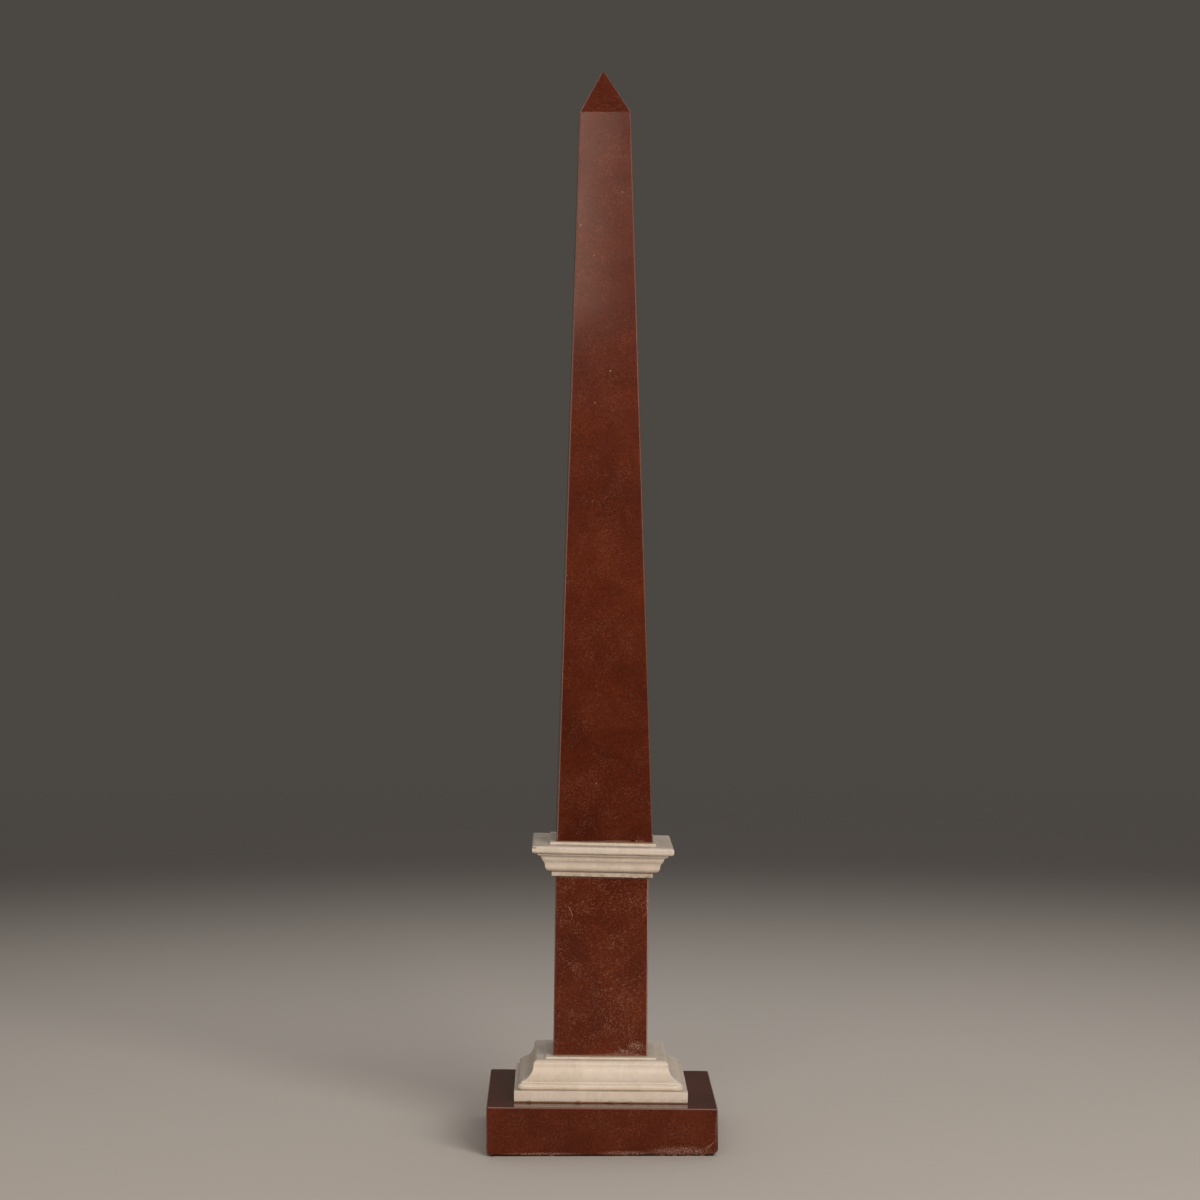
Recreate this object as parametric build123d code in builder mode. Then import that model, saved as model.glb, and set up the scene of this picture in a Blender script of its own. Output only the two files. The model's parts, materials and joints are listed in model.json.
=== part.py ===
from build123d import *
from math import cos, radians, sin
import os

# A table-top obelisk of polished red stone with two white marble mouldings.
# It is an ornament about 567 mm tall that stands on a desk or a mantelpiece.
# Millimetres, +Z up, the front faces -Y, the origin is under the middle of the plinth.

# The red blocks, square in plan
plinth_width = 120.0
plinth_height = 25.1
die_foot_width = 49.6
die_head_width = 49.0
die_height = 93.8
shaft_foot_width = 50.6
shaft_shoulder_width = 27.0
shaft_height = 384.2
pyramidion_height = 22.7
apex_width = 0.8
apex_bevel = 0.2

# The base moulding, member by member from its bed upwards
base_band_height = 5.5
base_band_ledge = 2.0
base_bead_radius = 1.75
base_fillet_height = 0.8
base_cavetto_radius = 8.0
base_cavetto_sweep = 77.0
base_roll_radius = 2.4
base_seat_ledge = 3.9
base_seat_width = 58.3
base_seat_height = 0.9

# The cornice, member by member from its bed upwards
cornice_foot_width = 53.4
cornice_foot_height = 2.3
cornice_lip = 0.6
cornice_ovolo_radius = 3.0
cornice_cyma_radius = 3.7
cornice_cyma_sweep = 58.0
cornice_cavetto_radius = 2.3
cornice_step_height = 1.1
corona_soffit = 1.35
corona_lower_radius = 1.6
corona_face_height = 1.1
corona_upper_radius = 1.4
cornice_weathering = 0.2
cornice_seat_width = 55.7
cornice_seat_height = 1.2

# The thin beds of setting compound, the cut grooves and the eased edges
joint_thickness = 0.5
joint_setback = 0.9
groove_depth = 0.4
groove_height = 0.4
plinth_edge_radius = 0.9
arris_width = 0.6
head_edge_width = 0.3
trim_margin = 5.0

# How far the hand-cut pieces stand out of true, in degrees and millimetres
plinth_fall = 0.6
die_fall = 0.7
shaft_lean = 0.1
shaft_twist = 0.9
base_offset = -0.5
die_offset = -0.3
shaft_offset = 0.6
apex_offset = -0.8

# The heights of the mouldings, added up from their members
base_cavetto_drop = base_cavetto_radius * sin(radians(base_cavetto_sweep))
base_cavetto_reach = base_cavetto_radius * (1 - cos(radians(base_cavetto_sweep)))
base_roll_centre = (
    base_band_height + 2 * base_bead_radius + base_fillet_height + base_cavetto_drop
)
base_height = base_roll_centre + base_roll_radius + base_seat_height
base_neck_half = base_seat_width / 2 + base_seat_ledge + base_roll_radius
base_fillet_half = base_neck_half + base_cavetto_reach
base_band_half = base_fillet_half + base_bead_radius + base_band_ledge
cornice_cyma_rise = cornice_cyma_radius * sin(radians(cornice_cyma_sweep))
cornice_cyma_reach = cornice_cyma_radius * (1 - cos(radians(cornice_cyma_sweep)))
cornice_height = (
    cornice_foot_height + groove_height + cornice_ovolo_radius + cornice_cyma_rise
    + groove_height + cornice_cavetto_radius + cornice_step_height + corona_lower_radius
    + corona_face_height + corona_upper_radius + cornice_weathering + cornice_seat_height
)
corona_half = (
    cornice_foot_width / 2 + cornice_lip + cornice_ovolo_radius + cornice_cyma_reach
    + cornice_cavetto_radius + corona_soffit + corona_lower_radius
)


def bed_above(bed, rise, along=0.0, fall=0.0):
    """Return the bed at a height above another one, moved along it and tipped to the right."""
    origin = bed.from_local_coords((along, 0, rise))
    return Plane(origin, x_dir=bed.x_dir, z_dir=bed.z_dir).rotated((0, fall, 0))


# Each piece is set square on the bed below it, and two of the beds fall to the right
plinth_top = bed_above(Plane.XY, plinth_height, fall=plinth_fall)
base_bed = bed_above(plinth_top, joint_thickness, along=base_offset)
base_top = bed_above(base_bed, base_height)
die_bed = bed_above(base_top, joint_thickness, along=die_offset)
die_top = bed_above(die_bed, die_height, fall=die_fall)
cornice_bed = bed_above(die_top, joint_thickness)
cornice_top = bed_above(cornice_bed, cornice_height)
shaft_bed = bed_above(cornice_top, joint_thickness, along=shaft_offset)
shaft_upright = Plane(shaft_bed.origin).rotated((0, shaft_lean, shaft_twist))

# The plinth: a sawn slab, dressed a little thinner at the right, with all its edges eased
with BuildPart() as plinth:
    with BuildSketch():
        Rectangle(plinth_width, plinth_width)
    extrude(amount=plinth_height + trim_margin)
    split(bisect_by=plinth_top, keep=Keep.BOTTOM)
    fillet(plinth.edges(), radius=plinth_edge_radius)

# The base moulding's section: band, bead, fillet, cavetto, roll and the seat for the die
with BuildSketch() as base_section:
    with BuildLine():
        band = Polyline(
            (0, 0),
            (base_band_half, 0),
            (base_band_half, base_band_height),
            (base_fillet_half, base_band_height),
        )
        bead = JernArc(band @ 1, (1, 0), base_bead_radius, 180)
        fillet_line = Line(bead @ 1, bead @ 1 + Vector(0, base_fillet_height))
        cavetto = JernArc(
            (base_neck_half, base_roll_centre), (0, -1), base_cavetto_radius, base_cavetto_sweep
        )
        roll = JernArc(cavetto @ 0, (0, 1), base_roll_radius, 90)
        seat = Polyline(
            roll @ 1,
            (base_seat_width / 2, base_height - base_seat_height),
            (base_seat_width / 2, base_height),
            (0, base_height),
        )
        mirror(about=Plane.YZ)
    make_face()

# The cornice's section: foot, groove, ovolo and cyma, groove, cavetto, step, corona and seat
with BuildSketch() as cornice_section:
    with BuildLine():
        foot_groove_top = cornice_foot_height + groove_height
        foot = Polyline(
            (0, 0),
            (cornice_foot_width / 2, 0),
            (cornice_foot_width / 2, cornice_foot_height),
            (cornice_foot_width / 2 - groove_depth, cornice_foot_height),
            (cornice_foot_width / 2 - groove_depth, foot_groove_top),
            (cornice_foot_width / 2 + cornice_lip, foot_groove_top),
        )
        ovolo = JernArc(foot @ 1, (1, 0), cornice_ovolo_radius, 90)
        cyma = JernArc(ovolo @ 1, (0, 1), cornice_cyma_radius, -cornice_cyma_sweep)
        neck = Polyline(
            cyma @ 1,
            cyma @ 1 - Vector(groove_depth, 0),
            cyma @ 1 + Vector(-groove_depth, groove_height),
            cyma @ 1 + Vector(0, groove_height),
        )
        cavetto = JernArc(neck @ 1, (0, 1), cornice_cavetto_radius, -90)
        step = Polyline(
            cavetto @ 1,
            cavetto @ 1 + Vector(0, cornice_step_height),
            cavetto @ 1 + Vector(corona_soffit, cornice_step_height),
        )
        corona_lower = JernArc(step @ 1, (1, 0), corona_lower_radius, 90)
        corona_face = Line(corona_lower @ 1, corona_lower @ 1 + Vector(0, corona_face_height))
        corona_upper = JernArc(corona_face @ 1, (0, 1), corona_upper_radius, 90)
        seat = Polyline(
            corona_upper @ 1,
            (cornice_seat_width / 2, cornice_height - cornice_seat_height),
            (cornice_seat_width / 2, cornice_height),
            (0, cornice_height),
        )
        mirror(about=Plane.YZ)
    make_face()

# Each moulding is its section run from front to back, cut by the same section run from side
# to side: the two runs meet in a true mitre at each corner
with BuildPart() as base_moulding:
    with BuildSketch(Plane(base_bed.origin, x_dir=base_bed.x_dir, z_dir=-base_bed.y_dir)):
        add(base_section.sketch)
    extrude(amount=base_band_half, both=True)
    with BuildSketch(Plane(base_bed.origin, x_dir=base_bed.y_dir, z_dir=base_bed.x_dir)):
        add(base_section.sketch)
    extrude(amount=base_band_half, both=True, mode=Mode.INTERSECT)

with BuildPart() as cornice:
    with BuildSketch(Plane(cornice_bed.origin, x_dir=cornice_bed.x_dir, z_dir=-cornice_bed.y_dir)):
        add(cornice_section.sketch)
    extrude(amount=corona_half, both=True)
    with BuildSketch(Plane(cornice_bed.origin, x_dir=cornice_bed.y_dir, z_dir=cornice_bed.x_dir)):
        add(cornice_section.sketch)
    extrude(amount=corona_half, both=True, mode=Mode.INTERSECT)

# The die: an almost square prism with bevelled arrises, its head cut to the fall of its bed
die_taper = (die_foot_width - die_head_width) / die_height
with BuildPart() as die:
    with BuildSketch(die_bed) as die_foot:
        Rectangle(die_foot_width, die_foot_width)
        chamfer(die_foot.vertices(), length=arris_width)
    with BuildSketch(die_bed.offset(die_height + trim_margin)) as die_above_head:
        Rectangle(
            die_head_width - die_taper * trim_margin,
            die_head_width - die_taper * trim_margin,
        )
        chamfer(die_above_head.vertices(), length=arris_width)
    loft(ruled=True)
    split(bisect_by=die_top, keep=Keep.BOTTOM)
    chamfer(die.faces().sort_by(Axis.Z)[-1].edges(), length=head_edge_width)

# The shaft and its pyramidion: one block that tapers to the shoulder and then to a blunt tip,
# drawn from below its bed and cut off along it
shaft_taper = (shaft_foot_width - shaft_shoulder_width) / shaft_height
with BuildPart() as shaft:
    with BuildSketch(shaft_upright.offset(-trim_margin)) as shaft_below_foot:
        Rectangle(
            shaft_foot_width + shaft_taper * trim_margin,
            shaft_foot_width + shaft_taper * trim_margin,
        )
        chamfer(shaft_below_foot.vertices(), length=arris_width)
    with BuildSketch(shaft_upright.offset(shaft_height)) as shoulder:
        Rectangle(shaft_shoulder_width, shaft_shoulder_width)
        chamfer(shoulder.vertices(), length=arris_width)
    with BuildSketch(bed_above(shaft_upright, shaft_height + pyramidion_height, apex_offset)) as apex:
        Rectangle(apex_width, apex_width)
        chamfer(apex.vertices(), length=apex_bevel)
    loft(ruled=True)
    split(bisect_by=shaft_bed, keep=Keep.TOP)

# The beds of setting compound: each is a thin square sheet, set in a little from the stone
with BuildPart() as plinth_joint:
    with BuildSketch(base_bed.offset(-joint_thickness)):
        Rectangle(2 * (base_band_half - joint_setback), 2 * (base_band_half - joint_setback))
    extrude(amount=joint_thickness)

with BuildPart() as die_joint:
    with BuildSketch(die_bed.offset(-joint_thickness)):
        Rectangle(die_foot_width - 2 * joint_setback, die_foot_width - 2 * joint_setback)
    extrude(amount=joint_thickness)

with BuildPart() as cornice_joint:
    with BuildSketch(die_top):
        Rectangle(die_head_width - 2 * joint_setback, die_head_width - 2 * joint_setback)
    extrude(amount=joint_thickness)

with BuildPart() as shaft_joint:
    with BuildSketch(shaft_bed.offset(-joint_thickness)):
        Rectangle(shaft_foot_width - 2 * joint_setback, shaft_foot_width - 2 * joint_setback)
    extrude(amount=joint_thickness)

plinth.part.label = "plinth"
base_moulding.part.label = "base_moulding"
die.part.label = "die"
cornice.part.label = "cornice"
shaft.part.label = "shaft"
plinth_joint.part.label = "plinth_joint"
die_joint.part.label = "die_joint"
cornice_joint.part.label = "cornice_joint"
shaft_joint.part.label = "shaft_joint"

os.makedirs("parts", exist_ok=True)
export_step(plinth.part, "parts/plinth.step")
export_step(plinth_joint.part, "parts/plinth_joint.step")
export_step(base_moulding.part, "parts/base_moulding.step")
export_step(die_joint.part, "parts/die_joint.step")
export_step(die.part, "parts/die.step")
export_step(cornice_joint.part, "parts/cornice_joint.step")
export_step(cornice.part, "parts/cornice.step")
export_step(shaft_joint.part, "parts/shaft_joint.step")
export_step(shaft.part, "parts/shaft.step")

top = shaft.part.bounding_box().max.Z
print(f"overall height {top:.1f} mm, base moulding {base_height:.2f} mm, cornice {cornice_height:.2f} mm")
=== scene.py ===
import bmesh
import bpy
import json
import math
import random
from mathutils import Euler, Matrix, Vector, noise

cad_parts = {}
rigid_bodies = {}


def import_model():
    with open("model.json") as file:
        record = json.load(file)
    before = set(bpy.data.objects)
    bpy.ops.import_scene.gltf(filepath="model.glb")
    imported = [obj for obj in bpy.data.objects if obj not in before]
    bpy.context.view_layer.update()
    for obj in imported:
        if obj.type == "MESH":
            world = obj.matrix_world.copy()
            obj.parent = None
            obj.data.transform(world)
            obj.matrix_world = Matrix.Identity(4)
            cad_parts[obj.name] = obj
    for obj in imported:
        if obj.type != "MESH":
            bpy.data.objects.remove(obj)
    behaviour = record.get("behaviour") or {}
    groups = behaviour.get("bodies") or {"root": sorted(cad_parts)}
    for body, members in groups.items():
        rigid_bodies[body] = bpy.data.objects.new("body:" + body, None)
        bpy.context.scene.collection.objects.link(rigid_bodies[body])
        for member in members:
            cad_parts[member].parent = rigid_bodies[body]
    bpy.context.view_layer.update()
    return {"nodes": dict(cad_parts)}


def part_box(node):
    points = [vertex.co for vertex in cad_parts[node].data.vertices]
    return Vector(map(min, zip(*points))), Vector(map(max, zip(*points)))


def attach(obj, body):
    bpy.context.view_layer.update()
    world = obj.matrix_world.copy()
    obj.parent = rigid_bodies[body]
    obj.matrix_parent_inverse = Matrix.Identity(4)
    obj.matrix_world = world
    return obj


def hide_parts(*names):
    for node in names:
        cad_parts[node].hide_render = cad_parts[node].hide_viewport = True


for leftover in list(bpy.data.objects):
    bpy.data.objects.remove(leftover)
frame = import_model()

# %% [markdown]
# # A desk obelisk of red and white marble
#
# The object is an ornament for a desk or a mantelpiece, a little under 57 cm tall.
# Three blocks of polished red marble (plinth, die and tapered shaft) are stacked with two
# white marble mouldings between them, and thin beds of setting compound hold them together.
# The solids come from the frame with their true sizes. This file gives them their finish:
# the grain and polish of the stone, the worn and chipped edges, and the light.
#
# Blender counts in metres, and a stone cutter in millimetres. Sizes are written here in
# millimetres and multiplied by MM. Colours are written as hex codes, as a colour picker
# shows them, and one function turns them into the linear values that shaders use.

# %% Units and colours
MM = 0.001


def linear(hex_code):
    """Turn an sRGB colour such as "8A3B22" into the linear RGBA that shaders use."""
    parts = [int(hex_code[i:i + 2], 16) / 255 for i in (0, 2, 4)]
    return [p / 12.92 if p <= 0.04045 else ((p + 0.055) / 1.055) ** 2.4 for p in parts] + [1.0]


# %% [markdown]
# ## Building materials node by node
#
# Every finish below is a small network of shader nodes. Writing each node as one call, with
# its settings and what feeds it, keeps a network readable from top to bottom: the last call
# is the surface, and each earlier one makes something that a later one uses.
#
# All patterns are solid 3-D textures in object space, so they run through the stone and
# over its edges as real grain does. Painted images would need seams at every edge. Each
# block takes its recipe at another place in the "quarry", because no two blocks share
# their grain.

# %% Helpers for nodes
# The Mix node has inputs of the same name for each kind of data, so colours go by number.
COLOUR_A, COLOUR_B, COLOUR_OUT = 6, 7, 2


def add_node(material, kind, inputs=None, **settings):
    """Add a node, set its properties, and give each input a value or link it to an output."""
    node = material.node_tree.nodes.new(kind)
    for name, value in settings.items():
        setattr(node, name, value)
    for socket, value in (inputs or {}).items():
        if isinstance(value, bpy.types.NodeSocket):
            material.node_tree.links.new(value, node.inputs[socket])
        else:
            node.inputs[socket].default_value = value
    return node


def new_material(name):
    """Make an empty node material and return it with its output node."""
    material = bpy.data.materials.new(name)
    material.use_nodes = True
    material.node_tree.nodes.clear()
    return material, add_node(material, "ShaderNodeOutputMaterial")


def stone_place(material, quarry_place):
    """Return object space in metres, and the same in mm, moved to a place in the quarry."""
    place = add_node(material, "ShaderNodeTexCoord").outputs["Object"]
    moved = add_node(material, "ShaderNodeMapping", {
        "Vector": place, "Location": quarry_place, "Scale": (1 / MM,) * 3,
    })
    return place, moved.outputs["Vector"]


# %% [markdown]
# ## Rosso antico: the ground of the red marble
#
# The red blocks look like rosso antico, a dense, fine red marble. To the eye it is a deep
# brownish red with soft clouds a few centimetres wide and a sugary grain. The clouds are a
# soft noise that mixes three close reds. The grain is a Voronoi texture: each of its cells
# is one crystal, and the cell's random value makes it a little lighter or darker. The real
# grain is about 0.3 mm. It is drawn at 0.7 mm, which is as fine as a picture of the whole
# object can show.
#
# Its tone also changes slowly with height. The shaft is darker near its foot and the die
# near its top. Along the plinth's lowest millimetre runs a nearly black line of painted
# shade, for the unlit, downward-facing rounding of its foot. All three are one setting.

# %% Clouds, tone and shade by height, and sugar grain
ROSSO_GROUND = linear("561D05")
ROSSO_DARK_CLOUD = linear("4D1904")
ROSSO_LIGHT_CLOUD = linear("5E230A")
CLOUD_MM = 30.0
GRAIN_MM = 0.7
GRAIN_CONTRAST = 0.16


def clouds_and_grain(material, place, mm, tone_and_shade_by_height):
    """Return the ground's colour and a random value for each grain.

    The fourth argument is a low height in mm and the stone's tone there, then a high one
    and its tone. At the plinth's foot the low tone is painted shade.
    """
    clouds = add_node(material, "ShaderNodeTexNoise", {
        "Vector": mm, "Scale": 1 / CLOUD_MM, "Detail": 5.0, "Roughness": 0.6, "Distortion": 0.6,
    })
    cloud_colour = add_node(material, "ShaderNodeValToRGB", {"Fac": clouds.outputs["Fac"]})
    ramp = cloud_colour.color_ramp
    ramp.elements[0].position, ramp.elements[0].color = 0.34, ROSSO_DARK_CLOUD
    ramp.elements[1].position, ramp.elements[1].color = 0.66, ROSSO_LIGHT_CLOUD
    ramp.elements.new(0.5).color = ROSSO_GROUND

    low, low_tone, high, high_tone = tone_and_shade_by_height
    height = add_node(material, "ShaderNodeSeparateXYZ", {"Vector": place})
    # tone with height; the plinth's nearly black foot is painted shade
    height_tone_and_shade = add_node(material, "ShaderNodeMapRange", {
        "Value": height.outputs["Z"], "From Min": low * MM, "From Max": high * MM,
        "To Min": low_tone, "To Max": high_tone,
    })
    toned = add_node(material, "ShaderNodeVectorMath", {
        0: cloud_colour.outputs["Color"], 1: height_tone_and_shade.outputs["Result"],
    }, operation="MULTIPLY")

    grain = add_node(material, "ShaderNodeTexVoronoi", {"Vector": mm, "Scale": 1 / GRAIN_MM})
    grain_value = add_node(material, "ShaderNodeSeparateColor", {
        "Color": grain.outputs["Color"],
    }).outputs["Red"]
    grain_tone = add_node(material, "ShaderNodeMapRange", {
        "Value": grain_value, "To Min": 1 - GRAIN_CONTRAST, "To Max": 1 + GRAIN_CONTRAST,
    })
    grained = add_node(material, "ShaderNodeVectorMath", {
        0: toned.outputs["Vector"], 1: grain_tone.outputs["Result"],
    }, operation="MULTIPLY")
    return grained.outputs["Vector"], grain_value


# %% [markdown]
# ## Crumbs of pale calcite
#
# Seen close, the red is full of paler crumbs, well under a millimetre, that gather in drifts
# about a centimetre wide, and between them lie a few dark grains of iron ore. Scattering
# them as separate bits would take millions. Instead each Voronoi cell draws a lot: a random
# value, plus a bonus inside a drift. The cells with the highest lots turn pale. Another
# random value of the same cells picks the dark ones. The crumbs are drawn at 0.55 mm, again
# coarser than many of them are.

# %% Pale crumbs and dark grains
ROSSO_CRUMB = linear("B9826A")
ROSSO_DARK_GRAIN = linear("2A0D06")
DRIFT_MM = 13.0
DRIFT_BONUS = 0.32
CRUMB_MM = 0.55


def crumbs_over(material, mm, under, crumbs):
    """Lay pale crumbs, thicker in drifts, and a few dark grains over a colour."""
    drifts = add_node(material, "ShaderNodeTexNoise", {
        "Vector": mm, "Scale": 1 / DRIFT_MM, "Detail": 4.0, "Roughness": 0.6, "Distortion": 0.8,
    })
    in_drift = add_node(material, "ShaderNodeMapRange", {
        "Value": drifts.outputs["Fac"], "From Min": 0.42, "From Max": 0.66,
        "To Min": 0.0, "To Max": DRIFT_BONUS,
    })
    cells = add_node(material, "ShaderNodeTexVoronoi", {"Vector": mm, "Scale": 1 / CRUMB_MM})
    chances = add_node(material, "ShaderNodeSeparateColor", {"Color": cells.outputs["Color"]})
    lot = add_node(material, "ShaderNodeMath", {
        0: chances.outputs["Red"], 1: in_drift.outputs["Result"],
    }, operation="ADD")
    pale_mask = add_node(material, "ShaderNodeMapRange", {
        "Value": lot.outputs["Value"], "From Min": 0.84, "From Max": 1.2, "To Max": crumbs,
    })
    with_crumbs = add_node(material, "ShaderNodeMix", {
        0: pale_mask.outputs["Result"], COLOUR_A: under, COLOUR_B: ROSSO_CRUMB,
    }, data_type="RGBA")
    dark_mask = add_node(material, "ShaderNodeMapRange", {
        "Value": chances.outputs["Green"], "From Min": 0.8, "From Max": 1.0, "To Max": 0.5,
    })
    return add_node(material, "ShaderNodeMix", {
        0: dark_mask.outputs["Result"], COLOUR_A: with_crumbs.outputs[COLOUR_OUT],
        COLOUR_B: ROSSO_DARK_GRAIN,
    }, data_type="RGBA").outputs[COLOUR_OUT]


# %% [markdown]
# ## A rare white crystal
#
# Here and there one white crystal of calcite stands out. A Voronoi texture with cells of
# 7.5 mm keeps such crystals well apart: only a spot in the middle of a cell turns white,
# about half of the cells get none, and a fine noise bends the space so that no spot is a
# round dot.

# %% White crystals
ROSSO_CRYSTAL = linear("D9BBA6")
CRYSTAL_SPACING_MM = 7.5
LARGEST_CRYSTAL = 0.065
CRYSTAL_RAGGED_MM = 0.9
CRYSTAL_BEND_MM = 1.1


def crystals_over(material, mm, under):
    """Set rare white crystals with ragged rims into a colour."""
    ragged = add_node(material, "ShaderNodeTexNoise", {
        "Vector": mm, "Scale": 1 / CRYSTAL_RAGGED_MM,
    })
    bent = add_node(material, "ShaderNodeVectorMath", {
        0: ragged.outputs["Color"], 1: (CRYSTAL_BEND_MM,) * 3, 2: mm,
    }, operation="MULTIPLY_ADD")
    cells = add_node(material, "ShaderNodeTexVoronoi", {
        "Vector": bent.outputs["Vector"], "Scale": 1 / CRYSTAL_SPACING_MM,
    })
    chances = add_node(material, "ShaderNodeSeparateColor", {"Color": cells.outputs["Color"]})
    size = add_node(material, "ShaderNodeMapRange", {
        "Value": chances.outputs["Red"], "From Min": 0.45, "From Max": 1.0,
        "To Min": 0.0, "To Max": LARGEST_CRYSTAL,
    })
    mask = add_node(material, "ShaderNodeMapRange", {
        "Value": cells.outputs["Distance"], "From Min": size.outputs["Result"],
        "From Max": 0.0, "To Max": 1.1,
    })
    return add_node(material, "ShaderNodeMix", {
        0: mask.outputs["Result"], COLOUR_A: under, COLOUR_B: ROSSO_CRYSTAL,
    }, data_type="RGBA").outputs[COLOUR_OUT]


# %% [markdown]
# ## Where handling has taken the polish
#
# A polished block goes dull first along its arrises, the sharp edges between two faces. The
# mesh could carry painted masks, but a shader can find an arris by itself. A Bevel node
# rounds the normal over by a fraction of a millimetre: on a face of a square block the
# normal points along one axis, and only on an arris does it point between them. The
# sloping faces of a tapered shaft would also count as arrises, so there the upward part of
# the normal is played down.

# %% The mask of the arrises
def arris_mask(material, rounded_normal, slope_share, flat_from, worn_at):
    """1 where the rounded normal is far from every axis, 0 on the faces of a square block.

    A slope_share under 1 plays the upward part down, so that sloping faces count as flat.
    """
    played_down = add_node(material, "ShaderNodeVectorMath", {
        0: rounded_normal, 1: (1.0, 1.0, slope_share),
    }, operation="MULTIPLY")
    unit = add_node(material, "ShaderNodeVectorMath", {0: played_down.outputs["Vector"]},
                    operation="NORMALIZE")
    sizes = add_node(material, "ShaderNodeVectorMath", {0: unit.outputs["Vector"]},
                     operation="ABSOLUTE")
    axes = add_node(material, "ShaderNodeSeparateXYZ", {"Vector": sizes.outputs["Vector"]})
    largest = add_node(material, "ShaderNodeMath", {
        0: axes.outputs["X"], 1: axes.outputs["Y"],
    }, operation="MAXIMUM")
    largest = add_node(material, "ShaderNodeMath", {
        0: largest.outputs["Value"], 1: axes.outputs["Z"],
    }, operation="MAXIMUM")
    return add_node(material, "ShaderNodeMapRange", {
        "Value": largest.outputs["Value"], "From Min": flat_from, "From Max": worn_at,
    }).outputs["Result"]


# %% [markdown]
# ## Rubbed patches and curved scratches
#
# Other wear has a place: a corner that was bumped, a foot that was dragged along a shelf, a
# scratch from a turning cloth with grit in it. Each stands where the photograph shows it,
# in millimetres on the block. A patch is the inside of an ellipsoid, broken up by a fine
# noise unless it is solid. A scratch is a thin arc round a centre, and only a short length
# of that arc is seen.

# %% The masks of patches and scratches
SCRATCH_WIDTH_MM = 0.18
FAR_AND_WIDE_MM = 1e6


def reach_from(material, place, centre, half_sizes):
    """Distance from a centre in mm, counted in half sizes: 0 in the middle, 1 at the rim."""
    offset = add_node(material, "ShaderNodeVectorMath", {
        0: place, 1: [-c * MM for c in centre],
    }, operation="ADD")
    shaped = add_node(material, "ShaderNodeVectorMath", {
        0: offset.outputs["Vector"], 1: [1 / (h * MM) for h in half_sizes],
    }, operation="MULTIPLY")
    return add_node(material, "ShaderNodeVectorMath", {0: shaped.outputs["Vector"]},
                    operation="LENGTH").outputs["Value"]


def rubbed_patch(material, place, rub, centre, half_sizes, solid=0.0):
    """A patch with broken edges where the polish is rubbed off, the more solid the higher."""
    inside = add_node(material, "ShaderNodeMapRange", {
        "Value": reach_from(material, place, centre, half_sizes), "From Min": 1.0, "From Max": 0.3,
    }, interpolation_type="SMOOTHSTEP")
    broken = add_node(material, "ShaderNodeMapRange", {
        "Value": rub, "From Min": 0.48, "From Max": 0.6, "To Min": solid,
    })
    return add_node(material, "ShaderNodeMath", {
        0: inside.outputs["Result"], 1: broken.outputs["Result"],
    }, operation="MULTIPLY").outputs["Value"]


def curved_scratch(material, place, middle, length, turn_centre):
    """A thin arc round turn_centre, seen only near its middle."""
    radius = (Vector(middle) - Vector(turn_centre)).length
    from_line = add_node(material, "ShaderNodeMath", {
        0: reach_from(material, place, turn_centre, (1.0, FAR_AND_WIDE_MM, 1.0)), 1: radius,
    }, operation="SUBTRACT")
    off_line = add_node(material, "ShaderNodeMath", {0: from_line.outputs["Value"]},
                        operation="ABSOLUTE")
    on_line = add_node(material, "ShaderNodeMapRange", {
        "Value": off_line.outputs["Value"], "From Min": SCRATCH_WIDTH_MM, "From Max": 0.0,
    })
    nearby = add_node(material, "ShaderNodeMapRange", {
        "Value": reach_from(material, place, middle, (length / 2,) * 3),
        "From Min": 1.0, "From Max": 0.8,
    })
    return add_node(material, "ShaderNodeMath", {
        0: on_line.outputs["Result"], 1: nearby.outputs["Result"],
    }, operation="MULTIPLY").outputs["Value"]


# %% [markdown]
# ## All the wear of a block, with painted highlights on its arrises
#
# The strongest mask wins at each point. Two things temper it. The left and the right arris
# each have their own strength: partly wear, and partly a painted highlight on the arris
# that catches a lamp. And nothing rubs the underside, so wear ends where the surface turns
# downward, which also keeps the painted shade at the plinth's foot unbroken.

# %% How worn each point is, with painted highlights
WORN_BY_MM = 0.8
RUB_MM = 0.65
BEVEL_SAMPLES = 8
FACE_FROM, ARRIS_AT = 0.96, 0.78


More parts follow.
